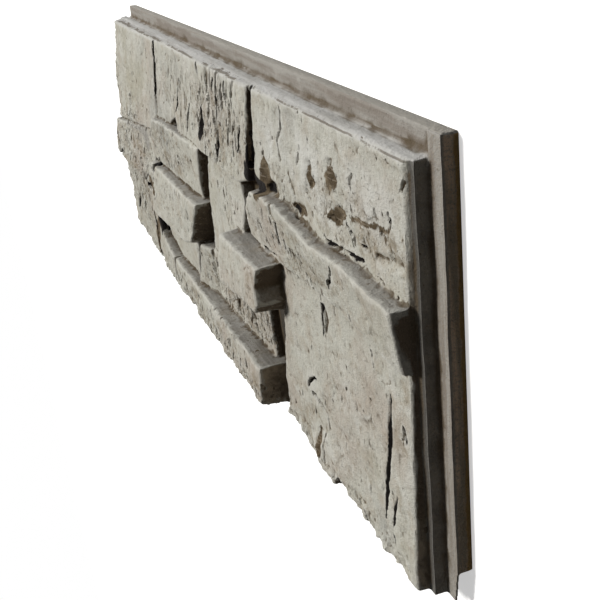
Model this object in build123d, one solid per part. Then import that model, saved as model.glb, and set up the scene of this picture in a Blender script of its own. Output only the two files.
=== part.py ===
from build123d import *
from math import cos, radians, sin
import os

# Field of stones, the part of the face that shows on a wall
FIELD_LENGTH = 1219.0
FIELD_HEIGHT = 394.0

# Layers, measured from the flat back
BACK_THICKNESS = 12.5  # back layer with the tongue
END_RISE = 2.0  # the strip of tongue at the right end stands prouder than the one along the top
BED_FRONT = 26.0  # front of the bed that carries the stones
BED_STEP = 9.0  # strip of bed that shows past the stones at the right end

# Lap joint round the edge
TONGUE_REACH = 20.0  # tongue past the bed, along the top and the right end
LAP_CLEARANCE = 12.0  # room left when a neighbour's tongue is in the rebate
COVE_RADIUS = 5.0  # moulded curve at the root of the tongue
BED_CORNER = 2.0  # rounded upper right corner of the bed
COVE_ROOT = 1.0  # depth of the curve inside the bed and the tongue
BACK_CORNER = 2.0  # rounded corners of the back layer
LIP_SLANT = 6.0  # the end strip narrows where it runs on past the bottom rebate

# Stone blocks
STONE_ROOT = 6.0  # depth of each stone inside the bed
STONE_DRAFT = 4.0  # degrees, flanks of the stones
TOP_DRAFT = 11.0  # degrees, flanks along the top edge
RIM_HEIGHT = 10.0  # strip along the top edge that closes the joints there
STONE_ARRIS = 2.0  # broken edge round each stone face
JOINT_OVERLAP = 1.0  # neighbours run into each other at the root
SCAR_FLOOR = 0.5  # least height of a scar above the bed
SCAR_MOUTH = 4.0  # height to which a scar is cut above the face

# Joint corners: across from the left end, up from the bottom edge
RIGHT = FIELD_LENGTH
TOP = FIELD_HEIGHT
BED_RIGHT = RIGHT + BED_STEP
TONGUE_RIGHT = BED_RIGHT + TONGUE_REACH
TONGUE_TOP = TOP + TONGUE_REACH
REBATE = TONGUE_REACH + LAP_CLEARANCE
FOOT = 886.0  # left end of the uneven foot of the large right-hand stone
CORNERS = {
    "top_left": (0.0, TOP),
    "top_a": (341.0, TOP),
    "top_b": (832.0, TOP),
    "slot_top": (848.0, TOP),
    "top_right": (RIGHT, TOP),
    "rim_left": (0.0, TOP - RIM_HEIGHT),
    "rim_right": (RIGHT, TOP - RIM_HEIGHT),
    "low_left": (0.0, 9.0),
    "low_a": (330.0, 5.0),
    "sill_foot": (382.0, 6.0),
    "sill_toe": (852.0, 11.0),
    "low_b": (FOOT, 11.0),
    "toe_a": (FOOT + 76.0, 4.0),
    "toe_b": (FOOT + 148.0, 2.0),
    "toe_c": (FOOT + 157.0, 17.0),
    "toe_d": (FOOT + 204.0, 0.0),
    "low_right": (RIGHT, 0.0),
    "left_high": (0.0, 213.0),
    "left_low": (0.0, 152.0),
    "brow_low": (100.0, 140.0),
    "brow_mid": (225.0, 142.0),
    "brow_end": (296.0, 184.0),
    "tall_foot": (306.0, 243.0),
    "course_a": (341.0, 272.0),
    "notch_a": (424.0, 275.0),
    "notch_tip": (472.0, 293.0),
    "notch_b": (484.0, 275.0),
    "course_b": (620.0, 273.0),
    "course_c": (786.0, 272.0),
    "course_d": (832.0, 284.0),
    "pocket_low": (797.0, 246.0),
    "pocket_high": (846.0, 278.0),
    "shelf_tip": (805.0, 249.0),
    "shelf_toe": (797.0, 210.0),
    "shelf_a": (937.0, 287.0),
    "shelf_b": (RIGHT - 184.0, 274.0),
    "shelf_c": (RIGHT - 95.0, 279.0),
    "shelf_end": (RIGHT, 274.0),
    "shelf_foot": (RIGHT, 216.0),
    "shelf_low": (RIGHT - 159.0, 222.0),
    "nook_high": (904.0, 209.0),
    "nook_in": (898.0, 185.0),
    "nook_out": (907.0, 164.0),
    "nook_low": (895.0, 150.0),
    "wall_mid": (879.0, 60.0),
    "block_top": (752.0, 206.0),
    "block_low": (735.0, 134.0),
    "chock_end": (826.0, 146.0),
    "chock_toe": (838.0, 64.0),
    "pier_low": (606.0, 133.0),
    "pier_toe": (780.0, 208.0),
    "step_top": (601.0, 198.0),
    "step_low": (566.0, 131.0),
    "step_left": (290.0, 106.0),
    "step_mid": (418.0, 113.0),
    "step_high": (322.0, 178.0),
    "ledge_foot": (314.0, 199.0),
    "ledge_low": (577.0, 199.0),
    "ledge_high": (600.0, 274.0),
    "sill_left": (400.0, 58.0),
    "sill_a": (515.0, 60.0),
    "sill_b": (604.0, 62.0),
    "sill_end": (859.0, 66.0),
    "wedge": (332.0, 72.0),
    "chock_top": (523.0, 119.0),
    "chock_foot": (531.0, 60.0),
}

# Stones: corners in order, then the face height at the low left, the low right and the top
STONES = {
    "tall": ("top_left left_high tall_foot course_a top_a", 60.0, 56.0, 38.5),
    "long": ("top_a course_a notch_a notch_tip notch_b course_b course_c course_d top_b", 47.0, 47.0, 35.0),
    "corner": ("slot_top course_d pocket_high shelf_a shelf_b shelf_c shelf_end top_right", 37.0, 32.0, 31.5),
    "rim": ("top_left rim_left rim_right top_right", 31.0, 30.5, 30.5),
    "brow": ("left_high left_low brow_low brow_mid brow_end tall_foot", 77.0, 62.0, 53.0),
    "rubble": (
        "left_low low_left low_a sill_foot sill_left wedge step_left step_high brow_end brow_mid brow_low",
        57.0, 65.0, 64.0),
    "ledge": ("tall_foot brow_end ledge_foot ledge_low ledge_high notch_b notch_a course_a", 56.0, 44.0, 54.0),
    "step": ("step_high step_left step_mid chock_top step_low step_top ledge_foot", 73.0, 69.0, 64.0),
    "pier": ("course_b step_top pier_low block_low block_top pier_toe pocket_low course_c", 42.0, 47.0, 40.0),
    "block": ("block_top block_low chock_end nook_low nook_out nook_in nook_high", 74.0, 74.0, 68.0),
    "shelf": (
        "shelf_tip shelf_toe nook_high shelf_low shelf_foot shelf_end shelf_c shelf_b shelf_a pocket_high",
        40.0, 40.0, 51.5),
    "wall": (
        "nook_high nook_in nook_out nook_low wall_mid low_b toe_a toe_b toe_c toe_d low_right "
        "shelf_foot shelf_low", 41.0, 38.5, 34.5),
    "chock_left": ("step_left wedge sill_left sill_a chock_top step_mid", 52.0, 50.0, 50.0),
    "chock_mid": ("step_low chock_foot sill_b pier_low", 57.0, 43.0, 55.0),
    "chock_right": ("pier_low sill_b chock_toe chock_end block_low", 44.0, 37.0, 42.0),
    "sill": ("sill_foot sill_toe sill_end chock_toe sill_b sill_a sill_left", 66.0, 66.0, 64.0),
}

# Scars: the stone, the depth, then points across, up and half the width at the face
SCARS = [
    ("tall", 10.0, [(341, 384, 4.5), (341, 353, 4.5), (340, 323, 3), (339, 303, 1)]),
    ("long", 5.0, [(507, 352, 2), (490, 319, 3), (477, 303, 1.5)]),
    ("long", 6.0, [(628, 330, 8), (620, 296, 9)]),
    ("long", 3.0, [(615, 377, 6), (630, 362, 11), (635, 338, 8)]),
    ("long", 6.0, [(704, 357, 2.5), (709, 326, 5), (703, 281, 4)]),
    ("long", 5.0, [(808, 341, 2), (801, 328, 4.5), (797, 311, 2)]),
    ("corner", 9.0, [(840, 384, 8), (839, 362, 7), (834, 329, 3.5), (829, 300, 4)]),
    ("corner", 5.0, [(874, 329, 1), (876, 311, 10), (879, 291, 20)]),
    ("corner", 4.0, [(1018, 348, 1), (1015, 331, 15), (1011, 319, 2)]),
    ("corner", 4.0, [(1071, 361, 1), (1070, 343, 16)]),
    ("corner", 5.0, [(962, 291, 3), (979, 290, 9), (998, 292, 4)]),
    ("corner", 4.0, [(1055, 304, 2), (1078, 310, 10), (1104, 318, 3)]),
    ("corner", 4.0, [(1160, 300, 3), (1190, 303, 10), (1212, 305, 5)]),
    ("brow", 8.0, [(248, 143, 4), (272, 144, 6), (290, 148, 3)]),
    ("ledge", 12.0, [(345, 207, 4), (346, 199, 9), (341, 188, 4)]),
    ("rubble", 14.0, [(269, 101, 4), (269, 85, 8), (261, 57, 3)]),
    ("rubble", 9.0, [(112, 85, 4), (84, 67, 7), (58, 50, 3)]),
    ("chock_left", 12.0, [(300, 99, 6), (312, 86, 8), (318, 73, 4)]),
    ("wall", 8.0, [(1022, 203, 4), (1020, 177, 3), (1019, 167, 1)]),
    ("wall", 6.0, [(1177, 179, 1.5), (1174, 144, 5), (1163, 78, 3.5), (1155, 39, 1)]),
    ("wall", 4.0, [(1184, 79, 1.5), (1178, 62, 3), (1172, 41, 1.5)]),
    ("wall", 4.0, [(992, 51, 3), (995, 38, 9), (988, 17, 9)]),
]


def back_layer():
    width = TONGUE_RIGHT - REBATE
    height = TONGUE_TOP - REBATE
    plate = Pos(REBATE + width / 2, REBATE + height / 2) * RectangleRounded(width, height, BACK_CORNER)
    return extrude(plate, BACK_THICKNESS)


def end_strip():
    # proud face of the tongue at the right end, which runs on to the bottom edge as a thin lip
    outline = Polyline(
        (RIGHT, 0), (TONGUE_RIGHT - LIP_SLANT, 0), (TONGUE_RIGHT, REBATE), (TONGUE_RIGHT, TONGUE_TOP),
        (BED_RIGHT, TONGUE_TOP), (BED_RIGHT, REBATE), (RIGHT, REBATE), close=True
    )
    return extrude(Pos(0, 0, BACK_THICKNESS) * make_face(outline), END_RISE)


def bed():
    plate = Pos(BED_RIGHT / 2, TOP / 2, BACK_THICKNESS) * Rectangle(BED_RIGHT, TOP)
    layer = extrude(plate, BED_FRONT - BACK_THICKNESS)
    corner = layer.edges().filter_by(Axis.Z).group_by(Axis.X)[-1].sort_by(Axis.Y)[-1]
    # the left rebate is deeper, for the prouder strip of the panel before
    room = Pos(REBATE / 2, TOP / 2, BACK_THICKNESS) * Rectangle(REBATE, TOP)
    return fillet(corner, BED_CORNER) - extrude(room, END_RISE)


def cove():
    # hollow curve that fills the angle between the bed and the face of the tongue
    start = (REBATE, TOP, BACK_THICKNESS)
    run = Pos(0, 0, BACK_THICKNESS) * FilletPolyline(
        (REBATE, TOP), (BED_RIGHT, TOP), (BED_RIGHT, REBATE), radius=BED_CORNER
    )
    r = COVE_RADIUS
    curve = RadiusArc((r, 0), (0, r), r)
    sides = Polyline((0, r), (-COVE_ROOT, r), (-COVE_ROOT, -COVE_ROOT), (r, -COVE_ROOT), (r, 0))
    section = Plane(origin=start, x_dir=(0, 1, 0), z_dir=(1, 0, 0)) * make_face(curve + sides)
    return sweep(section, path=run)


def meet(*planes):
    # the point where three planes cross, each plane a unit normal and its distance
    (n1, d1), (n2, d2), (n3, d3) = planes
    return (n2.cross(n3) * d1 + n3.cross(n1) * d2 + n1.cross(n2) * d3) / n1.dot(n2.cross(n3))


def flank(start, end):
    # side of a stone over one joint, leaning inward by the draft
    run = (end - start).normalized()
    out = Vector(run.Y, -run.X)
    lean = radians(TOP_DRAFT if {start.Y, end.Y} == {TOP} else STONE_DRAFT)
    normal = out * cos(lean) + Vector(0, 0, sin(lean))
    at_edge = {start.X, end.X} in ({0.0}, {RIGHT}) or {start.Y, end.Y} in ({0.0}, {TOP})
    grow = 0.0 if at_edge else JOINT_OVERLAP
    foot = start + out * grow + Vector(0, 0, BED_FRONT - STONE_ROOT)
    return normal, normal.dot(foot)


def outline(names):
    return [Vector(*CORNERS[n]) for n in names.split()]


def face_plane(names, low_left, low_right, high):
    xs = [p.X for p in outline(names)]
    ys = [p.Y for p in outline(names)]
    a = Vector(min(xs), min(ys), low_left)
    b = Vector(max(xs), min(ys), low_right)
    c = Vector((min(xs) + max(xs)) / 2, max(ys), high)
    normal = (b - a).cross(c - a).normalized()
    return normal, normal.dot(a)


def stone(names, low_left, low_right, high):
    points = outline(names)
    face = face_plane(names, low_left, low_right, high)
    normal, distance = face
    below = (normal, distance - STONE_ARRIS)
    foot = (Vector(0, 0, 1), BED_FRONT - STONE_ROOT)
    flanks = [flank(points[i - 1], points[i]) for i in range(len(points))]
    # the broken edge passes through the line where a flank reaches the lowered face
    arrises = [(n + normal, d + below[1]) for n, d in flanks]
    root = []
    shoulder = []
    rim = []
    for i in range(len(points)):
        root.append(meet(flanks[i - 1], flanks[i], foot))
        shoulder.append(meet(flanks[i - 1], flanks[i], below))
        rim.append(meet(arrises[i - 1], arrises[i], face))
    faces = [Face(Wire.make_polygon(root)), Face(Wire.make_polygon(rim))]
    for low, upper in ((root, shoulder), (shoulder, rim)):
        for i in range(len(points)):
            faces.append(Face(Wire.make_polygon([low[i - 1], low[i], upper[i], upper[i - 1]])))
    return Solid(Shell(faces))


def scar(host, depth, points):
    # a crack or spall: a notch of triangular section along a line on the face of one stone
    normal, distance = face_plane(*STONES[host])
    spread = (depth + SCAR_MOUTH) / depth
    places = [Vector(x, y) for x, y, half in points]
    left, right, floor = [], [], []
    for i, (x, y, half) in enumerate(points):
        run = (places[min(i + 1, len(places) - 1)] - places[max(i - 1, 0)]).normalized()
        side = Vector(-run.Y, run.X) * half * spread
        face = (distance - normal.X * x - normal.Y * y) / normal.Z
        left.append(places[i] + side + Vector(0, 0, face + SCAR_MOUTH))
        right.append(places[i] - side + Vector(0, 0, face + SCAR_MOUTH))
        floor.append(places[i] + Vector(0, 0, max(face - depth, BED_FRONT + SCAR_FLOOR)))
    triangles = [(left[0], floor[0], right[0]), (left[-1], right[-1], floor[-1])]
    for one, other in ((left, right), (right, floor), (floor, left)):
        for i in range(len(points) - 1):
            triangles.append((one[i], other[i], one[i + 1]))
            triangles.append((other[i], other[i + 1], one[i + 1]))
    return Solid(Shell([Face(Wire.make_polygon(t)) for t in triangles]))


def build_panel():
    panel = back_layer() + end_strip() + bed() + cove()
    for row in STONES.values():
        panel = panel + stone(*row)
    for row in SCARS:
        panel = panel - scar(*row)
    return panel


panel = build_panel()
box = panel.bounding_box()
panel = Pos(-box.center().X, -box.center().Y, -box.min.Z) * panel
os.makedirs("parts", exist_ok=True)
export_step(panel, "parts/stone_panel.step")
print("solids", len(panel.solids()), "volume", round(panel.volume / 1e6, 2), "size", box.size)
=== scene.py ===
from math import radians

import bmesh
import bpy
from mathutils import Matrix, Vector


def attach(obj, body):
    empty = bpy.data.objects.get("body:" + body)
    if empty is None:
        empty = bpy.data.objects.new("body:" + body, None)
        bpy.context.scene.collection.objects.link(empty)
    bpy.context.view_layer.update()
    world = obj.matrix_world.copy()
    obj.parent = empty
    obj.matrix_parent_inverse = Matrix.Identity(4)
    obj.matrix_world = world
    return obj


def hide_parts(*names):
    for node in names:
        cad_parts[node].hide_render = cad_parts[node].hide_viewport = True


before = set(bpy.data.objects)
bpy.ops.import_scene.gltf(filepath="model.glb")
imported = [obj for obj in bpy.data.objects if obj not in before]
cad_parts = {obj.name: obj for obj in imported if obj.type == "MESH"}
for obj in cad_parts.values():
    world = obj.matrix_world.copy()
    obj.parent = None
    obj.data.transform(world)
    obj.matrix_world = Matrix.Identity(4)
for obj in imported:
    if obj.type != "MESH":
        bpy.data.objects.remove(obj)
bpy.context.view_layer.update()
scene = bpy.context.scene
scene.view_settings.view_transform = "Standard"
mm = 0.001


# node helpers shared by the geometry trees and the materials

def plug(tree, socket, value):
    if isinstance(value, bpy.types.NodeSocket):
        tree.links.new(value, socket)
    elif value is not None:
        socket.default_value = value


def put(tree, kind, **settings):
    node = tree.nodes.new(kind)
    for name, value in settings.items():
        setattr(node, name, value)
    return node


def calc(tree, operation, a, b=None):
    node = put(tree, "ShaderNodeMath", operation=operation)
    plug(tree, node.inputs[0], a)
    plug(tree, node.inputs[1], b)
    return node.outputs[0]


def times(tree, a, b):
    return calc(tree, "MULTIPLY", a, b)


def vectorCalc(tree, operation, a, b=None, scale=None):
    node = put(tree, "ShaderNodeVectorMath", operation=operation)
    plug(tree, node.inputs[0], a)
    plug(tree, node.inputs[1], b)
    if scale is not None:
        plug(tree, node.inputs["Scale"], scale)
    plainNumber = operation in ("LENGTH", "DISTANCE", "DOT_PRODUCT")
    return node.outputs["Value"] if plainNumber else node.outputs[0]


def axes(tree, vector):
    node = put(tree, "ShaderNodeSeparateXYZ")
    plug(tree, node.inputs[0], vector)
    return node.outputs


def joined(tree, x, y, z):
    node = put(tree, "ShaderNodeCombineXYZ")
    for socket, value in zip(node.inputs, (x, y, z)):
        plug(tree, socket, value)
    return node.outputs[0]


def remap(tree, value, fromLow, fromHigh, toLow=0.0, toHigh=1.0, smooth=True):
    node = put(tree, "ShaderNodeMapRange", interpolation_type="SMOOTHSTEP" if smooth else "LINEAR")
    plug(tree, node.inputs["Value"], value)
    plug(tree, node.inputs["From Min"], fromLow)
    plug(tree, node.inputs["From Max"], fromHigh)
    plug(tree, node.inputs["To Min"], toLow)
    plug(tree, node.inputs["To Max"], toHigh)
    return node.outputs["Result"]


def noise(tree, vector, scale, detail=3.0, roughness=0.5, distortion=0.0):
    node = put(tree, "ShaderNodeTexNoise", noise_dimensions="3D")
    plug(tree, node.inputs["Vector"], vector)
    plug(tree, node.inputs["Scale"], scale)
    plug(tree, node.inputs["Detail"], detail)
    plug(tree, node.inputs["Roughness"], roughness)
    plug(tree, node.inputs["Distortion"], distortion)
    return node


def grain(tree, vector, stretch, detail, roughness, distortion=0.0):
    # noise drawn out, its scale along each axis given by the stretch
    stretched = vectorCalc(tree, "MULTIPLY", vector, stretch)
    return noise(tree, stretched, 1.0, detail, roughness, distortion).outputs[0]


def scattered(tree, vector, scale, reach):
    # random push in all directions, up to the reach
    push = noise(tree, vector, scale, 4.0, 0.55).outputs["Color"]
    push = vectorCalc(tree, "SUBTRACT", push, (0.5, 0.5, 0.5))
    return vectorCalc(tree, "SCALE", push, scale=times(tree, reach, 2.0))


def mixColour(tree, factor, a, b):
    # sockets 6 and 7 in, and 2 out, are the colour ones
    node = put(tree, "ShaderNodeMix", data_type="RGBA", blend_type="MIX")
    plug(tree, node.inputs["Factor"], factor)
    plug(tree, node.inputs[6], a)
    plug(tree, node.inputs[7], b)
    return node.outputs[2]


def newTree(name, sizes):
    tree = bpy.data.node_groups.new(name, "GeometryNodeTree")
    tree.interface.new_socket(name="Geometry", in_out="INPUT", socket_type="NodeSocketGeometry")
    tree.interface.new_socket(name="Geometry", in_out="OUTPUT", socket_type="NodeSocketGeometry")
    ids = {}
    for label, kind in sizes:
        ids[label] = tree.interface.new_socket(name=label, in_out="INPUT", socket_type=kind).identifier
    return tree, ids, put(tree, "NodeGroupInput").outputs


def keepMasks(tree, shape, masks):
    for name, value in masks.items():
        keep = put(tree, "GeometryNodeStoreNamedAttribute", data_type="FLOAT", domain="POINT")
        plug(tree, keep.inputs["Geometry"], shape)
        plug(tree, keep.inputs["Name"], name)
        plug(tree, keep.inputs["Value"], value)
        shape = keep.outputs[0]
    return shape


def endTree(tree, shape, paint):
    real = put(tree, "GeometryNodeRealizeInstances")
    plug(tree, real.inputs[0], shape)
    coat = put(tree, "GeometryNodeSetMaterial")
    plug(tree, coat.inputs["Geometry"], real.outputs[0])
    plug(tree, coat.inputs["Material"], paint)
    plug(tree, put(tree, "NodeGroupOutput").inputs[0], coat.outputs[0])


def plainMesh(source):
    bpy.context.view_layer.update()
    graph = bpy.context.evaluated_depsgraph_get()
    evaluated = source.evaluated_get(graph)
    return bpy.data.meshes.new_from_object(evaluated, preserve_all_data_layers=True, depsgraph=graph)


def triangleCount(mesh):
    mesh.calc_loop_triangles()
    return len(mesh.loop_triangles)


def colour(r, g, b):
    return (r, g, b, 1.0)


# camera, from the panel's corners in the picture

cameraSettings = {
    "place": (1.2099, 0.3712, 0.3102),
    "turn": (-38.41, 69.59, -16.051),
    "lens": 57.317,
    "sensor": 36.0,
}


def buildCamera(settings):
    data = bpy.data.cameras.new("viewCamera")
    data.lens = settings["lens"]
    data.sensor_width = settings["sensor"]
    camera = bpy.data.objects.new("viewCamera", data)
    camera.location = settings["place"]
    camera.rotation_euler = [radians(a) for a in settings["turn"]]
    scene.collection.objects.link(camera)
    scene.camera = camera


buildCamera(cameraSettings)
print("camera placed")


# weathering and painted shade, drawn as lines of (across, up, half width), in mm from the panel's
# middle

markSettings = {
    "Scars": [  # painted black inside as shade, most of them cut in the solid
        [(4, 123, 8), (-4, 89, 9)],
        [(202, 94, 7), (204, 86, 9), (212, 79, 9), (226, 77, 7), (243, 77, 6)],
        [(342, 82, 2.5), (349, 79.5, 3)],
        [(-185, 70, 3), (-165, 74, 6), (-150, 74, 6)],
        [(-283, 177, 4.5), (-283, 146, 4.5), (-284, 116, 3), (-285, 96, 1)],
        [(-117, 145, 2), (-134, 112, 3), (-147, 96, 1.5)],
        [(80, 150, 2.5), (85, 119, 5), (79, 74, 4)],
        [(184, 134, 2), (177, 121, 4.5), (173, 104, 2)],
        [(216, 177, 8), (215, 155, 7), (210, 122, 3.5), (205, 93, 4)],
        [(-376, -64, 4), (-352, -63, 6), (-334, -59, 3)],
        [(-279, 0, 4), (-278, -8, 9), (-283, -19, 4)],
        [(-355, -106, 4), (-355, -122, 8), (-363, -150, 3)],
        [(-512, -122, 4), (-540, -140, 7), (-566, -157, 3)],
        [(-324, -108, 6), (-312, -121, 8), (-306, -134, 4)],
        [(398, -4, 4), (396, -30, 3), (395, -40, 1)],
        [
            (553, -28, 2), (551, -50, 3.5), (550, -63, 6),
            (544, -100, 4), (539, -129, 5), (531, -168, 1.5),
        ],
        [(560, -128, 1.5), (554, -145, 3), (548, -166, 1.5)],
    ],
    "Stains": [  # brown inside, most of them cut in the solid
        [(487, 112, 1.5), (510, 112, 3), (526, 114, 2.5), (545, 117, 3.5), (563, 121, 3)],
        [(248, 122, 1), (248, 104, 11), (247, 84, 21)],
        [(394, 141, 1), (391, 124, 15), (387, 112, 2)],
        [(447, 154, 1), (446, 136, 16)],
        [(368, -156, 3), (371, -169, 9), (364, -190, 9)],
        [(338, 84, 3), (355, 83, 9), (374, 85, 4)],
        [(431, 97, 2), (454, 103, 10), (480, 111, 3)],
        [(-318, -112, 7), (-335, -130, 14), (-365, -152, 16), (-380, -182, 13)],
        [(-350, -48, 9), (-325, -54, 8), (-303, -60, 9)],
    ],
    "Cracks": [  # painted black inside as shade, carved by the relief
        [(-63, 118, 2), (-74, 99, 2.8), (-81, 80, 2)],
        [(-13, 177, 5), (-8, 172, 5)],
        [(121, 175, 2.5), (121, 165, 2.5), (127, 148, 2)],
        [(71, 172, 2.5), (65, 158, 2)],
        [(134, 124, 2), (134, 104, 1.5)],
        [(257, 81, 6), (271, 83, 7)],
        [(72, 90, 2), (76, 80, 4), (74, 72, 2)],
        [(479, 110, 1.2), (480, 101, 1.7), (488, 100, 1.5), (489, 84, 1.2)],
        [(508, 93, 1.2), (520, 94, 1.8)],
        [(562, 134, 1.6), (562, 129, 1.6)],
        [(422, 75, 1.4), (426, 72, 2), (436, 71.5, 2), (446, 73, 2), (457, 73.5, 2.2), (463, 76, 1.4)],
        [(472, 76, 1.2), (484, 76, 1.5), (494, 75.5, 1.8), (503, 77, 2), (512, 79, 1.4)],
        [(229, 4, 2), (238, 5, 2.4), (250, 6, 1.2), (285, 11, 1)],
        [(541, 74, 1.3), (552, 73, 1.3)],
        [(463, 59, 1.5), (454, 44, 2), (446, 38, 3), (445, 32, 1)],
        [(310, 58, 2), (308, 35, 2.5)],
        [(335, -123, 2), (341, -114, 2.5), (352, -106, 2), (362, -103, 1.5)],
        [(346, -127, 2), (357, -124, 2), (369, -127, 1.5)],
        [(513, -4, 1.5), (519, -16, 1.5)],
        [(549, -178, 2), (552, -186, 1.5)],
        [(577, -47, 1.5), (580, -54, 3), (583, -60, 1.5)],
        [(483, -192, 1.5), (485, -200, 2.5), (489, -207, 2)],
        [(-362, -140, 4), (-368, -165, 4), (-378, -192, 3)],
        [(-282, -6, 6), (-284, -14, 8), (-296, -26, 5)],
        [(-292, -35, 3.5), (-312, -50, 2)],
        [(-592, -54, 4), (-573, -46, 3)],
    ],
    "Hollows": [  # shallow breaks with brown stain
        [(403, -4, 4), (409, -16, 5), (404, -30, 3)],
        [(265, 84, 8), (285, 84, 9)],
        [(315, 178, 1.5), (313, 155, 1.5), (299, 140, 1.5), (305, 122, 3)],
        [(360, 139, 2), (357, 130, 2)],
        [(588, 161, 2.5), (592, 168, 2)],
    ],
    "Grooves": [  # thin and shallow, with dirt in them
        [(369, -124, 1.5), (392, -130, 1.5), (397, -143, 1.5)],
        [(385, -156, 1.5), (384, -177, 1.5), (386, -192, 1.5)],
    ],
    "Shades": [  # painted grey shade along the top of the left stone
        [(-560, 10, 2), (-475, 15, 4), (-420, 20, 9), (-384, 14, 14), (-374, 2, 12)],
    ],
}


def drawLines(name, lines):
    data = bpy.data.curves.new(name, "CURVE")
    data.dimensions = "3D"
    for points in lines:
        spline = data.splines.new("POLY")
        spline.points.add(len(points) - 1)
        for point, (x, y, halfWidth) in zip(spline.points, points):
            point.co = (x * mm, y * mm, 0.0, 1.0)
            point.radius = halfWidth * mm
    lineObject = bpy.data.objects.new(name, data)
    scene.collection.objects.link(lineObject)
    return lineObject


# the panel: the moulded solid, given its stone surface

panelSettings = {
    "node": "stone_panel",
    "mergeGap": 0.01 * mm,
    "voxel": (1.6 * mm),
    "triangles": 190000,
    "sharpAngle": 32.0,
    "hollowsAndEdges": {"Reach": 3, "Depth": 1.2 * mm},  # how far round a point its low or high place is judged
    "dotSpacing": 1.5 * mm,  # along the drawn lines
    "looseMarks": ("Stains", "Shades"),
    "keptMarks": ("scars", "cracks", "grooves"),
    "keptLevel": 0.05,
    # across or up: where each edge begins to count, and where it counts in full
    "footEdge": (-165 * mm, -200 * mm),
    "leftEdge": (-590 * mm, -620 * mm),
    "topEdge": (140 * mm, 185 * mm),
    "furrowGrain": (95.0, 20.0, 40.0),
    "pitGrain": (150.0, 55.0, 90.0),
    "sizes": {
        "Seed": 3,
        "Bed Front": 26.0 * mm,  # the stone relief is all in front of this
        "Back Front": 12.5 * mm,
        "Field End": 595.0 * mm,
        "Field Top": 187.0 * mm,
        "Top Lean": 0.08,  # the top edge falls back as it comes forward
        "Wander": 1.8 * mm,
        "Wander Scale": 28.0,
        "Crumble": 1.3 * mm,  # along broken edges
        "Crumble Scale": 95.0,
        "Swell": 5.0 * mm,
        "Swell Scale": 9.0,
        "Facet Slope": 0.04,
        "Facet Scale": 26.0,
        "Chips": 1.6 * mm,
        "Chip Scale": 70.0,
        "Furrow": 3.6 * mm,
        "Pit": 2.6 * mm,
        "Cracks Depth": 6.0 * mm,
        "Hollows Depth": 3.0 * mm,
        "Grooves Depth": 2.0 * mm,
        "Unevenness": 1.5 * mm,  # of all but the back
    },
    # ellipses: across, up, half length, half height in mm, strength
    "furrowPatches": [(95, 130, 130, 75, 1.0), (-120, 120, 120, 60, 0.35)],
    "brokenPatches": [
        (470, 110, 150, 27, 0.45),
        (300, 95, 70, 30, 0.4),
        (-480, -40, 180, 150, 0.35),
        (90, -105, 170, 50, 0.6),
        (40, 120, 100, 60, 0.4),
    ],
    "pitPatches": [
        (320, 35, 170, 40, 0.8),
        (-200, 30, 160, 45, 0.9),
        (-150, -50, 150, 45, 0.65),
        (95, 30, 70, 55, 0.6),
        (-190, 130, 110, 50, 0.55),
        (450, -120, 110, 70, 0.35),
        (90, -110, 180, 60, 1.0),
        (-480, -60, 200, 150, 1.0),
        (500, 110, 130, 50, 0.6),
        (60, 120, 180, 70, 0.8),
        (0, -178, 380, 26, 0.9),
    ],
    "chalkPatches": [(330, 132, 110, 45, 1.0), (520, 138, 80, 32, 0.8), (430, 100, 50, 20, 0.7)],
    "soilPatches": [
        (220, -38, 110, 42, 0.6),
        (489, 151, 32, 15, 0.8),
        (545, 108, 50, 22, 1.0),
        (470, 102, 160, 36, 0.8),
        (575, 115, 40, 60, 0.7),
        (270, 90, 40, 30, 0.7),
        (420, 40, 180, 30, 0.55),
        (-170, 35, 160, 45, 0.75),
        (100, -105, 190, 55, 0.7),
        (-470, -60, 200, 150, 0.75),
        (60, 115, 160, 75, 0.6),
        (355, -170, 60, 40, 0.7),
        (575, -60, 30, 110, 0.6),
        (0, -178, 380, 28, 0.9),
    ],
    "bulges": [(400, -192, 60, 40, 5.0)],  # the last figure is the rise in mm
}


def patchMask(tree, place, patches):
    mask = 0.0
    for across, up, halfLength, halfHeight, strength in patches:
        away = vectorCalc(tree, "SUBTRACT", place, (across * mm, up * mm, 0.0))
        away = vectorCalc(tree, "MULTIPLY", away, (1 / halfLength / mm, 1 / halfHeight / mm, 0.0))
        patch = remap(tree, vectorCalc(tree, "LENGTH", away), 1.1, 0.5, 0.0, strength)
        mask = calc(tree, "MAXIMUM", mask, patch)
    return mask


def lineMask(tree, lines, plan, spacing):
    # one on a drawn line, zero past its half width
    source = put(tree, "GeometryNodeObjectInfo", transform_space="ORIGINAL")
    plug(tree, source.inputs["Object"], lines)
    dots = put(tree, "GeometryNodeCurveToPoints", mode="LENGTH")
    plug(tree, dots.inputs["Curve"], source.outputs["Geometry"])
    plug(tree, dots.inputs["Length"], spacing)
    nearest = put(tree, "GeometryNodeSampleNearest", domain="POINT")
    plug(tree, nearest.inputs["Geometry"], dots.outputs[0])
    plug(tree, nearest.inputs["Sample Position"], plan)
    readings = (
        ("FLOAT_VECTOR", "GeometryNodeInputPosition"),
        ("FLOAT", "GeometryNodeInputRadius"),
    )
    found = []
    for kind, value in readings:
        sample = put(tree, "GeometryNodeSampleIndex", data_type=kind, domain="POINT")
        plug(tree, sample.inputs["Geometry"], dots.outputs[0])
        plug(tree, sample.inputs["Value"], put(tree, value).outputs[0])
        plug(tree, sample.inputs["Index"], nearest.outputs[0])
        found.append(sample.outputs[0])
    nearPoint, halfWidth = found
    away = vectorCalc(tree, "DISTANCE", plan, nearPoint)
    return remap(tree, calc(tree, "DIVIDE", away, halfWidth), 1.15, 0.55), halfWidth


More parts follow.
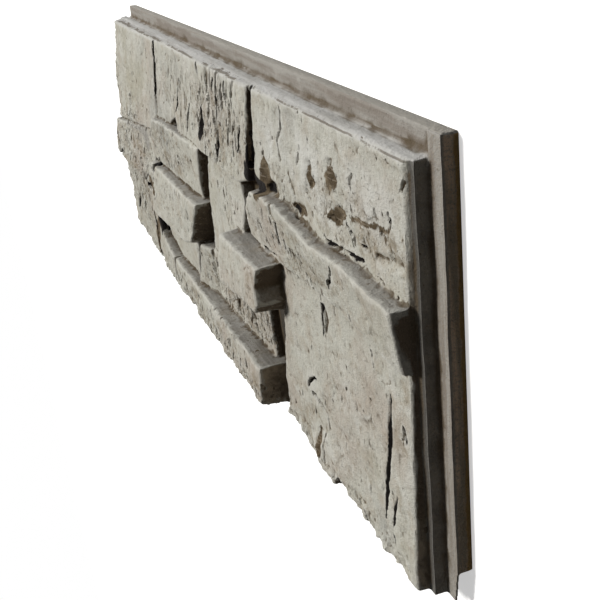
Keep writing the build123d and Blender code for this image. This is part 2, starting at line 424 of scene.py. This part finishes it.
def facets(tree, place, scale, slope):
    # broken planes, each tilted its own way
    cell = put(tree, "ShaderNodeTexVoronoi", voronoi_dimensions="3D", feature="F1")
    plug(tree, cell.inputs["Vector"], place)
    plug(tree, cell.inputs["Scale"], scale)
    tilt = vectorCalc(tree, "SUBTRACT", cell.outputs["Color"], (0.5, 0.5, 0.5))
    away = vectorCalc(tree, "SUBTRACT", place, cell.outputs["Position"])
    away = vectorCalc(tree, "MULTIPLY", away, (2.0, 2.0, 0.0))
    return times(tree, vectorCalc(tree, "DOT_PRODUCT", tilt, away), slope)


def reliefTree(settings):
    sizes = [(name, "NodeSocketObject") for name in markSettings]
    sizes += [(name, "NodeSocketFloat") for name in settings["sizes"] if name != "Seed"]
    sizes += [("Seed", "NodeSocketInt"), ("Paint", "NodeSocketMaterial")]
    tree, ids, given = newTree("stoneRelief", sizes)
    place = put(tree, "GeometryNodeInputPosition").outputs[0]
    x, y, z = axes(tree, place)
    above = calc(tree, "SUBTRACT", z, given["Bed Front"])
    onStone = remap(tree, above, 0.5 * mm, 2.5 * mm)
    start = vectorCalc(tree, "SCALE", (7.3, 3.1, 1.7), scale=given["Seed"])
    grainPlace = vectorCalc(tree, "ADD", place, start)

    furrowZone = patchMask(tree, place, settings["furrowPatches"])
    brokenZone = patchMask(tree, place, settings["brokenPatches"])
    pitZone = patchMask(tree, place, settings["pitPatches"])
    bulge = patchMask(tree, place, settings["bulges"])

    # stones wander less where they end at the panel's own edges
    toEnd = remap(tree, calc(tree, "SUBTRACT", given["Field End"], x), 0.0, 25 * mm, 0.3, 1.0)
    toTop = remap(tree, calc(tree, "SUBTRACT", given["Field Top"], y), 0.0, 20 * mm, 0.4, 1.0)
    freedom = times(tree, times(tree, toEnd, toTop), onStone)
    atFoot = remap(tree, y, *settings["footEdge"])
    atLeft = remap(tree, x, *settings["leftEdge"])
    atEdge = calc(tree, "MAXIMUM", atFoot, atLeft)
    ragged = calc(tree, "MAXIMUM", times(tree, brokenZone, 0.6), atEdge)
    reach = times(tree, given["Wander"], remap(tree, ragged, 0.0, 1.0, 1.0, 4.0))
    drift = scattered(tree, grainPlace, given["Wander Scale"], times(tree, reach, freedom))
    reach = times(tree, given["Crumble"], remap(tree, ragged, 0.0, 1.0, 0.5, 3.4))
    crumble = scattered(tree, grainPlace, given["Crumble Scale"], times(tree, reach, freedom))
    drift = vectorCalc(tree, "ADD", drift, crumble)

    swell = noise(tree, grainPlace, given["Swell Scale"], 2.0, 0.5).outputs[0]
    swell = times(tree, calc(tree, "SUBTRACT", swell, 0.5), given["Swell"])
    chips = noise(tree, grainPlace, given["Chip Scale"], 5.0, 0.65, 0.3).outputs[0]
    chips = times(tree, calc(tree, "SUBTRACT", chips, 0.5), given["Chips"])
    bent = vectorCalc(tree, "ADD", grainPlace, scattered(tree, grainPlace, 45.0, 8 * mm))
    slope = times(tree, given["Facet Slope"], remap(tree, brokenZone, 0.0, 1.0, 0.5, 3.0))
    planes = facets(tree, bent, given["Facet Scale"], slope)
    splinters = facets(tree, bent, times(tree, given["Facet Scale"], 2.7), slope)
    rise = calc(tree, "ADD", calc(tree, "ADD", swell, chips), calc(tree, "ADD", planes, splinters))
    rise = times(tree, rise, freedom)
    rise = calc(tree, "ADD", rise, times(tree, times(tree, bulge, mm), onStone))

    furrow = grain(tree, grainPlace, settings["furrowGrain"], 4.0, 0.6, 0.3)
    furrow = remap(tree, furrow, 0.53, 0.61)
    furrow = times(tree, furrow, furrowZone)
    pitLevel = remap(tree, pitZone, 0.0, 1.0, 0.68, 0.585, False)
    pit = grain(tree, grainPlace, settings["pitGrain"], 3.0, 0.55)
    pit = remap(tree, pit, pitLevel, calc(tree, "ADD", pitLevel, 0.06))

    # drawn lines are found in plan, with ragged sides
    plan = vectorCalc(tree, "ADD", place, scattered(tree, grainPlace, 150.0, 1.3 * mm))
    plan = vectorCalc(tree, "MULTIPLY", plan, (1.0, 1.0, 0.0))
    loose = scattered(tree, grainPlace, 60.0, 5 * mm)
    loose = vectorCalc(tree, "ADD", plan, vectorCalc(tree, "MULTIPLY", loose, (1.0, 1.0, 0.0)))
    masks = {}
    drop = times(tree, furrow, given["Furrow"])
    drop = calc(tree, "MAXIMUM", drop, times(tree, pit, given["Pit"]))
    for name in markSettings:
        where = loose if name in settings["looseMarks"] else plan
        masks[name], halfWidth = lineMask(tree, given[name], where, settings["dotSpacing"])
        if name + " Depth" in settings["sizes"]:
            depth = calc(tree, "MINIMUM", times(tree, halfWidth, 2.5), given[name + " Depth"])
            drop = calc(tree, "MAXIMUM", drop, times(tree, masks[name], depth))
    drop = calc(tree, "MINIMUM", times(tree, drop, onStone), calc(tree, "MAXIMUM", above, 0.0))

    # the top edge leans, and all but the back is a little uneven
    forward = calc(tree, "MAXIMUM", calc(tree, "SUBTRACT", z, given["Back Front"]), 0.0)
    nearTop = remap(tree, y, *settings["topEdge"])
    lean = times(tree, times(tree, forward, given["Top Lean"]), nearTop)
    uneven = times(tree, given["Unevenness"], remap(tree, z, 1 * mm, 6 * mm))
    shift = joined(tree, 0.0, times(tree, lean, -1.0), calc(tree, "SUBTRACT", rise, drop))
    shift = vectorCalc(tree, "ADD", shift, drift)
    shift = vectorCalc(tree, "ADD", shift, scattered(tree, grainPlace, 13.0, uneven))

    move = put(tree, "GeometryNodeSetPosition")
    plug(tree, move.inputs["Geometry"], given["Geometry"])
    plug(tree, move.inputs["Offset"], shift)
    masks = {name.lower(): mask for name, mask in masks.items()}
    masks.update(furrow=furrow, pit=pit)
    masks.update(rough=calc(tree, "MAXIMUM", brokenZone, pitZone), stone=onStone)
    masks.update(soil=patchMask(tree, place, settings["soilPatches"]))
    masks.update(chalk=patchMask(tree, place, settings["chalkPatches"]))
    endTree(tree, keepMasks(tree, move.outputs[0], masks), given["Paint"])
    return tree, ids


def paintTree():
    sizes = [("Paint", "NodeSocketMaterial"), ("Reach", "NodeSocketInt"), ("Depth", "NodeSocketFloat")]
    tree, ids, given = newTree("paintMasks", sizes)
    place = put(tree, "GeometryNodeInputPosition").outputs[0]
    normal = put(tree, "GeometryNodeInputNormal").outputs[0]
    blur = put(tree, "GeometryNodeBlurAttribute", data_type="FLOAT_VECTOR")
    plug(tree, blur.inputs["Value"], place)
    plug(tree, blur.inputs["Iterations"], given["Reach"])
    sunk = vectorCalc(tree, "DOT_PRODUCT", vectorCalc(tree, "SUBTRACT", blur.outputs[0], place), normal)
    masks = {
        "sunk": calc(tree, "DIVIDE", sunk, given["Depth"]),
        "facing": axes(tree, normal)[2],
        "topside": axes(tree, normal)[1],
    }
    endTree(tree, keepMasks(tree, given["Geometry"], masks), given["Paint"])
    return tree, ids


def mergedCopy(node, name, gap):
    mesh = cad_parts[node].data.copy()
    work = bmesh.new()
    work.from_mesh(mesh)
    bmesh.ops.remove_doubles(work, verts=work.verts, dist=gap)
    work.to_mesh(mesh)
    work.free()
    copy = bpy.data.objects.new(name, mesh)
    scene.collection.objects.link(copy)
    return copy


def protectMarks(panel, names, level):
    # the marks keep their detail when the mesh is thinned
    total = len(panel.data.vertices)
    marked = [0.0] * total
    for name in names:
        values = [0.0] * total
        panel.data.attributes[name].data.foreach_get("value", values)
        marked = list(map(max, marked, values))
    group = panel.vertex_groups.new(name="thinned")
    group.add([i for i, value in enumerate(marked) if value < level], 1.0, "REPLACE")
    return group.name


def buildPanel(settings, paint):
    blank = mergedCopy(settings["node"], "panelBlank", settings["mergeGap"])
    voxels = blank.modifiers.new("voxels", "REMESH")
    voxels.mode = "VOXEL"
    voxels.voxel_size = settings["voxel"]
    lines = {name: drawLines(name.lower(), drawn) for name, drawn in markSettings.items()}
    relief = blank.modifiers.new("relief", "NODES")
    relief.node_group, ids = reliefTree(settings)
    for name, value in {**settings["sizes"], **lines, "Paint": paint}.items():
        relief[ids[name]] = value
    carved = plainMesh(blank)
    count = triangleCount(carved)
    print("relief carved,", count, "triangles")

    panel = bpy.data.objects.new("stonePanel", carved)
    scene.collection.objects.link(panel)
    thin = panel.modifiers.new("thin", "DECIMATE")
    thin.ratio = min(1.0, settings["triangles"] / count)
    thin.vertex_group = protectMarks(panel, settings["keptMarks"], settings["keptLevel"])
    masks = panel.modifiers.new("masks", "NODES")
    masks.node_group, ids = paintTree()
    for name, value in {**settings["hollowsAndEdges"], "Paint": paint}.items():
        masks[ids[name]] = value
    finished = plainMesh(panel)
    panel.modifiers.clear()
    panel.data = finished
    panel.vertex_groups.clear()
    finished.shade_smooth()
    finished.set_sharp_from_angle(angle=radians(settings["sharpAngle"]))
    for extra in (blank, *lines.values()):
        bpy.data.objects.remove(extra)
    bpy.data.meshes.remove(carved)
    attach(panel, "root")
    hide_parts(settings["node"])
    print("panel finished,", triangleCount(finished), "triangles")


# paint: pale dry-brushed faces over a darker base coat, bare foam at the back; painted shade on the
# flanks, in the joints, on the step, in the cracks and low places, and painted highlights on the edges

paintSettings = {
    "pale": colour(0.525, 0.515, 0.455),
    "wornAndHighlight": colour(0.60, 0.59, 0.54),
    "chalk": colour(0.64, 0.635, 0.60),
    "warm": colour(0.43, 0.385, 0.315),
    "pink": colour(0.42, 0.36, 0.305),
    "olive": colour(0.36, 0.335, 0.25),
    "grey": colour(0.35, 0.35, 0.325),
    "tan": colour(0.24, 0.19, 0.125),
    "brown": colour(0.10, 0.074, 0.045),
    "soot": colour(0.080, 0.058, 0.034),
    "shadeBlack": colour(0.007, 0.005, 0.004),
    "wall": colour(0.12, 0.092, 0.064),
    "wallPale": colour(0.30, 0.25, 0.19),
    "smear": colour(0.50, 0.42, 0.32),
    "ledge": colour(0.345, 0.33, 0.30),
    "ledgeDark": colour(0.245, 0.23, 0.205),
    "bed": colour(0.33, 0.31, 0.28),
    "bedDark": colour(0.25, 0.22, 0.19),
    "stepShadeAndGrime": colour(0.10, 0.093, 0.083),
    "gap": colour(0.05, 0.042, 0.033),
    "shelf": colour(0.55, 0.54, 0.52),
    "bedEnd": colour(0.27, 0.25, 0.22),
    "tongueEdge": colour(0.44, 0.41, 0.36),
    "backEnd": colour(0.78, 0.57, 0.39),
    "foam": colour(0.42, 0.27, 0.11),
    "roughness": (0.82, 0.95),
    "specular": 0.15,
    "bump": 0.9,
    "bumpDepth": 2.2 * mm,
    # noise scale along each axis
    "brushGrain": (330.0, 70.0, 200.0),
    "alongGrain": (7.0, 110.0, 110.0),
    "upGrain": (150.0, 6.0, 110.0),
    "layerGrain": (22.0, 300.0, 0.0),
    "veinGrain": (36.0, 7.0, 20.0),
    # places on the panel: where a coat begins, and where it covers in full
    "scuffs": (-125 * mm, -150 * mm),
    "endStrip": (602 * mm, 606 * mm),
    "step": (593 * mm, 595 * mm),
    "bedRise": (20 * mm, 24 * mm),
    "backLayer": (14 * mm, 11 * mm),
    "fieldEnd": (594 * mm, 592 * mm),
    "fieldTop": (182 * mm, 178 * mm),
    "topRim": (174 * mm, 182 * mm),
    "shelfRise": (13 * mm, 17 * mm),
    "topLine": 182.6 * mm,
    "lineWidth": (1.1 * mm, 0.5 * mm),
    "lineWave": 2 * mm,
    "paintEnd": (5.0 * mm, 3.2 * mm),
    "paintWave": 8 * mm,
    "backFace": (0.6 * mm, 0.3 * mm),
}


def attribute(tree, name):
    return put(tree, "ShaderNodeAttribute", attribute_name=name).outputs["Fac"]


def buildPaint(settings):
    material = bpy.data.materials.new("limestonePaint")
    material.use_nodes = True
    tree = material.node_tree
    shader = tree.nodes["Principled BSDF"]
    place = put(tree, "ShaderNodeTexCoord").outputs["Object"]
    x, y, z = axes(tree, place)
    facing = attribute(tree, "facing")
    topside = attribute(tree, "topside")
    sunk = attribute(tree, "sunk")
    stone = attribute(tree, "stone")
    rough = attribute(tree, "rough")
    soil = attribute(tree, "soil")

    # clouds of colour over the stone faces
    cloudParts = axes(tree, noise(tree, place, 6.0, 4.0, 0.6).outputs["Color"])
    blotch = noise(tree, place, 38.0, 5.0, 0.65).outputs[0]
    mottle = noise(tree, place, 130.0, 5.0, 0.72).outputs[0]
    brushed = grain(tree, place, settings["brushGrain"], 3.0, 0.6)
    along = grain(tree, place, settings["alongGrain"], 4.0, 0.6)
    upward = grain(tree, place, settings["upGrain"], 4.0, 0.6)
    layered = grain(tree, place, settings["layerGrain"], 4.0, 0.65)
    grit = noise(tree, place, 420.0, 3.0, 0.7).outputs[0]
    warmth = remap(tree, blotch, 0.45, 0.68, 0.0, 0.7)
    tone = mixColour(tree, warmth, settings["pale"], settings["warm"])
    tone = mixColour(tree, remap(tree, cloudParts[0], 0.50, 0.66, 0.0, 0.6), tone, settings["pink"])
    tone = mixColour(tree, remap(tree, cloudParts[1], 0.54, 0.70, 0.0, 0.5), tone, settings["olive"])
    tone = mixColour(tree, remap(tree, cloudParts[2], 0.52, 0.68, 0.0, 0.6), tone, settings["grey"])
    tone = mixColour(tree, remap(tree, brushed, 0.52, 0.74, 0.0, 0.4), tone, settings["grey"])
    tone = mixColour(tree, remap(tree, mottle, 0.42, 0.30, 0.0, 0.6), tone, settings["wornAndHighlight"])
    spread = remap(tree, rough, 0.0, 1.0, 0.45, 0.85)
    spotted = times(tree, remap(tree, mottle, 0.54, 0.68), spread)
    tone = mixColour(tree, spotted, tone, settings["tan"])
    crust = noise(tree, place, 15.0, 6.0, 0.7).outputs[0]
    tone = mixColour(tree, remap(tree, crust, 0.53, 0.62, 0.0, 0.55), tone, settings["wornAndHighlight"])
    patchy = remap(tree, noise(tree, place, 34.0, 7.0, 0.72).outputs[0], 0.50, 0.60, 0.0, 0.75)
    tone = mixColour(tree, times(tree, patchy, soil), tone, settings["tan"])
    chalky = times(tree, attribute(tree, "chalk"), remap(tree, crust, 0.40, 0.56, 0.15, 0.75))
    tone = mixColour(tree, chalky, tone, settings["chalk"])

    # darker coat on the flanks, deepened into painted shade on all but the upward ones, streaky on the
    # ledges
    ledge = mixColour(tree, remap(tree, along, 0.40, 0.62), settings["ledge"], settings["ledgeDark"])
    scraped = remap(tree, mottle, 0.54, 0.70, 0.0, 0.8)
    # the flanks' dark coat is partly base coat and partly painted shade
    wall = mixColour(tree, scraped, settings["wall"], settings["wallPale"])
    lowDown = remap(tree, y, *settings["scuffs"])
    scuffed = times(tree, lowDown, remap(tree, blotch, 0.4, 0.6, 0.2, 0.9))
    wall = mixColour(tree, scuffed, wall, settings["smear"])
    # painted shade: grey along the top of the left stone, from the Shades lines
    tone = mixColour(tree, attribute(tree, "shades"), tone, settings["ledge"])
    side = mixColour(tree, remap(tree, topside, 0.2, 0.65), wall, ledge)
    side = mixColour(tree, remap(tree, blotch, 0.48, 0.68, 0.0, 0.3), side, settings["tan"])
    tone = mixColour(tree, remap(tree, facing, 0.8, 0.45), tone, side)

    # bed and tongue, the strip at the end streaked up its length
    atEnd = remap(tree, x, *settings["endStrip"])
    streak = mixColour(tree, atEnd, along, upward)
    bedTone = mixColour(tree, remap(tree, streak, 0.38, 0.6), settings["bed"], settings["bedDark"])
    bedFront = remap(tree, z, *settings["bedRise"])
    # painted shadow of the stones' ends on the bed's step; the same dark colour is also grime on the
    # bed's end
    shadedStep = times(tree, remap(tree, x, *settings["step"]), bedFront)
    bedTone = mixColour(tree, shadedStep, bedTone, settings["stepShadeAndGrime"])
    rust = remap(tree, upward, 0.42, 0.6, 0.0, 0.8)
    rusty = mixColour(tree, rust, settings["backEnd"], settings["tan"])
    grime = remap(tree, blotch, 0.4, 0.62, 0.0, 0.6)
    bedEnd = mixColour(tree, grime, settings["bedEnd"], settings["stepShadeAndGrime"])
    atBack = times(tree, remap(tree, z, *settings["backLayer"]), remap(tree, topside, 0.5, 0.2))
    endTone = mixColour(tree, atBack, bedEnd, rusty)
    endTone = mixColour(tree, remap(tree, mottle, 0.55, 0.7, 0.0, 0.7), endTone, settings["wallPale"])
    bedSide = mixColour(tree, remap(tree, topside, 0.2, 0.6), endTone, settings["tongueEdge"])
    bedTone = mixColour(tree, remap(tree, facing, 0.75, 0.35), bedTone, bedSide)
    sandy = times(tree, remap(tree, grit, 0.5, 0.62, 0.0, 0.6), atEnd)
    bedTone = mixColour(tree, sandy, bedTone, settings["wallPale"])
    underTop = remap(tree, y, *settings["fieldTop"])
    # painted shade: the bed showing between the stones is coloured near black
    shadedJoints = times(tree, remap(tree, x, *settings["fieldEnd"]), underTop)
    shadedJoints = times(tree, shadedJoints, bedFront)
    bedTone = mixColour(tree, shadedJoints, bedTone, settings["gap"])
    tone = mixColour(tree, stone, bedTone, tone)

    # pale coat on the strip over the tongue
    streaked = remap(tree, along, 0.42, 0.66, 0.0, 0.6)
    shelfTone = mixColour(tree, streaked, settings["shelf"], settings["ledge"])
    flecked = remap(tree, mottle, 0.5, 0.68, 0.0, 0.4)
    shelfTone = mixColour(tree, flecked, shelfTone, settings["ledgeDark"])
    onTop = times(tree, remap(tree, y, *settings["topRim"]), remap(tree, topside, 0.15, 0.5))
    onTop = times(tree, onTop, remap(tree, z, *settings["shelfRise"]))
    tone = mixColour(tree, onTop, tone, shelfTone)

    # dirt and painted shade in the low places, worn edges that are also painted highlights, specks
    wornAndHighlit = times(tree, remap(tree, sunk, -0.15, -0.6), remap(tree, stone, 0.0, 1.0, 0.12, 0.55))
    tone = mixColour(tree, wornAndHighlit, tone, settings["wornAndHighlight"])
    dirtAndShade = times(tree, remap(tree, sunk, 0.10, 0.6), remap(tree, blotch, 0.3, 0.6, 0.5, 0.95))
    tone = mixColour(tree, dirtAndShade, tone, settings["brown"])
    speckLevel = remap(tree, rough, 0.0, 1.0, 0.66, 0.58, False)
    speck = remap(tree, grit, speckLevel, calc(tree, "ADD", speckLevel, 0.06))
    tone = mixColour(tree, times(tree, speck, 0.75), tone, settings["brown"])
    vein = grain(tree, place, settings["veinGrain"], 3.0, 0.55, 0.3)
    vein = remap(tree, calc(tree, "ABSOLUTE", calc(tree, "SUBTRACT", vein, 0.5)), 0.012, 0.003)
    vein = times(tree, vein, times(tree, rough, remap(tree, blotch, 0.45, 0.6)))
    veined = times(tree, vein, times(tree, stone, 0.6))
    tone = mixColour(tree, veined, tone, settings["brown"])
    onFront = remap(tree, facing, 0.3, 0.7)
    for name, strength in (("pit", 0.85), ("furrow", 0.5), ("grooves", 0.75)):
        mark = times(tree, attribute(tree, name), strength)
        tone = mixColour(tree, times(tree, mark, onFront), tone, settings["brown"])
    stain = mixColour(tree, remap(tree, blotch, 0.46, 0.68), settings["soot"], settings["tan"])
    stain = mixColour(tree, remap(tree, layered, 0.52, 0.66, 0.0, 0.6), stain, settings["wallPale"])
    frayed = times(tree, calc(tree, "SUBTRACT", mottle, 0.5), 1.8)
    stained = remap(tree, calc(tree, "ADD", attribute(tree, "stains"), frayed), 0.3, 0.75)
    stained = calc(tree, "MAXIMUM", stained, times(tree, attribute(tree, "hollows"), 0.6))
    tone = mixColour(tree, stained, tone, stain)
    # painted shade: cracks and scars are coloured black inside
    shadedCracks = calc(tree, "MAXIMUM", attribute(tree, "cracks"), attribute(tree, "scars"))
    shadedCracks = remap(tree, shadedCracks, 0.3, 0.75)
    tone = mixColour(tree, shadedCracks, tone, settings["shadeBlack"])

    # broken dark line along the top of the stones
    wave = times(tree, calc(tree, "SUBTRACT", blotch, 0.5), settings["lineWave"])
    offLine = calc(tree, "SUBTRACT", calc(tree, "ADD", y, wave), settings["topLine"])
    offLine = calc(tree, "ABSOLUTE", offLine)
    topLine = times(tree, remap(tree, offLine, *settings["lineWidth"]), remap(tree, crust, 0.44, 0.5))
    topLine = times(tree, topLine, times(tree, stone, 0.7))
    tone = mixColour(tree, topLine, tone, settings["brown"])

    # foam shows where the paint stops short of the back
    wave = times(tree, calc(tree, "SUBTRACT", blotch, 0.5), settings["paintWave"])
    ragged = remap(tree, calc(tree, "ADD", z, wave), *settings["paintEnd"])
    bare = times(tree, ragged, remap(tree, topside, 0.5, 0.2))
    bare = calc(tree, "MAXIMUM", bare, remap(tree, z, *settings["backFace"]))
    tone = mixColour(tree, bare, tone, settings["foam"])
    plug(tree, shader.inputs["Base Color"], tone)
    plug(tree, shader.inputs["Roughness"], remap(tree, mottle, 0.35, 0.65, *settings["roughness"]))
    shader.inputs["Specular IOR Level"].default_value = settings["specular"]
    height = calc(tree, "ADD", mottle, times(tree, grit, 0.6))
    height = calc(tree, "ADD", height, times(tree, brushed, 0.4))
    height = calc(tree, "SUBTRACT", height, times(tree, calc(tree, "ADD", speck, vein), 0.5))
    bump = put(tree, "ShaderNodeBump")
    bump.inputs["Strength"].default_value = settings["bump"]
    bump.inputs["Distance"].default_value = settings["bumpDepth"]
    plug(tree, bump.inputs["Height"], height)
    plug(tree, shader.inputs["Normal"], bump.outputs[0])
    return material


buildPanel(panelSettings, buildPaint(paintSettings))


# floor and light

stageSettings = {
    "floorSize": 60.0,
    "floorDrop": 0.2 * mm,
    "floorGlow": 0.5,
    "floorShade": colour(0.9, 0.9, 0.9),
    "floorBounce": colour(0.10, 0.10, 0.10),
    "keyFrom": (-0.38, 0.27, 0.885),
    "keyPower": 3.0,
    "keySpread": 14.0,
    "keyColour": (1.0, 0.985, 0.95),
    "skyPlace": (-0.8, 2.6, 0.7),
    "skyPower": 30.0,
    "skySize": (3.0, 1.2),
    "skyColour": (0.93, 0.96, 1.0),
    "skyTarget": (0.1, 0, 0),
    "fill": 0.05,
}


def seenDirectly(tree):
    path = put(tree, "ShaderNodeLightPath")
    seen = calc(tree, "MAXIMUM", path.outputs["Is Camera Ray"], path.outputs["Is Glossy Ray"])
    return calc(tree, "MAXIMUM", seen, path.outputs["Is Transmission Ray"])


def buildFloor(settings):
    half = settings["floorSize"] / 2
    mesh = bpy.data.meshes.new("floor")
    corners = [(-half, -half, 0), (half, -half, 0), (half, half, 0), (-half, half, 0)]
    mesh.from_pydata(corners, [], [(0, 1, 2, 3)])
    floor = bpy.data.objects.new("floor", mesh)
    floor.location.z = -settings["floorDrop"]
    scene.collection.objects.link(floor)
    material = bpy.data.materials.new("paleFloor")
    material.use_nodes = True
    tree = material.node_tree
    tree.nodes.clear()
    shade = put(tree, "ShaderNodeBsdfDiffuse")
    shade.inputs["Color"].default_value = settings["floorShade"]
    lift = put(tree, "ShaderNodeEmission")
    lift.inputs["Strength"].default_value = settings["floorGlow"]
    both = put(tree, "ShaderNodeAddShader")
    plug(tree, both.inputs[0], shade.outputs[0])
    plug(tree, both.inputs[1], lift.outputs[0])
    bounce = put(tree, "ShaderNodeBsdfDiffuse")
    bounce.inputs["Color"].default_value = settings["floorBounce"]
    mix = put(tree, "ShaderNodeMixShader")
    plug(tree, mix.inputs[0], seenDirectly(tree))
    plug(tree, mix.inputs[1], bounce.outputs[0])
    plug(tree, mix.inputs[2], both.outputs[0])
    out = put(tree, "ShaderNodeOutputMaterial")
    plug(tree, out.inputs["Surface"], mix.outputs[0])
    mesh.materials.append(material)


def addLamp(lamp, place, target):
    lampObject = bpy.data.objects.new(lamp.name, lamp)
    lampObject.location = place
    lampObject.rotation_euler = (Vector(target) - Vector(place)).to_track_quat("-Z", "Y").to_euler()
    scene.collection.objects.link(lampObject)


def buildLight(settings):
    key = bpy.data.lights.new("keyLight", "SUN")
    key.energy = settings["keyPower"]
    key.angle = radians(settings["keySpread"])
    key.color = settings["keyColour"]
    addLamp(key, settings["keyFrom"], (0, 0, 0))
    sky = bpy.data.lights.new("skyLight", "AREA")
    sky.energy = settings["skyPower"]
    sky.shape = "RECTANGLE"
    sky.size, sky.size_y = settings["skySize"]
    sky.color = settings["skyColour"]
    addLamp(sky, settings["skyPlace"], settings["skyTarget"])
    world = bpy.data.worlds.new("studio")
    scene.world = world
    world.use_nodes = True
    tree = world.node_tree
    back = tree.nodes["Background"]
    back.inputs["Color"].default_value = colour(1.0, 1.0, 1.0)
    strength = remap(tree, seenDirectly(tree), 0.0, 1.0, settings["fill"], 1.0, False)
    plug(tree, back.inputs["Strength"], strength)


buildFloor(stageSettings)
buildLight(stageSettings)
print("stage set")
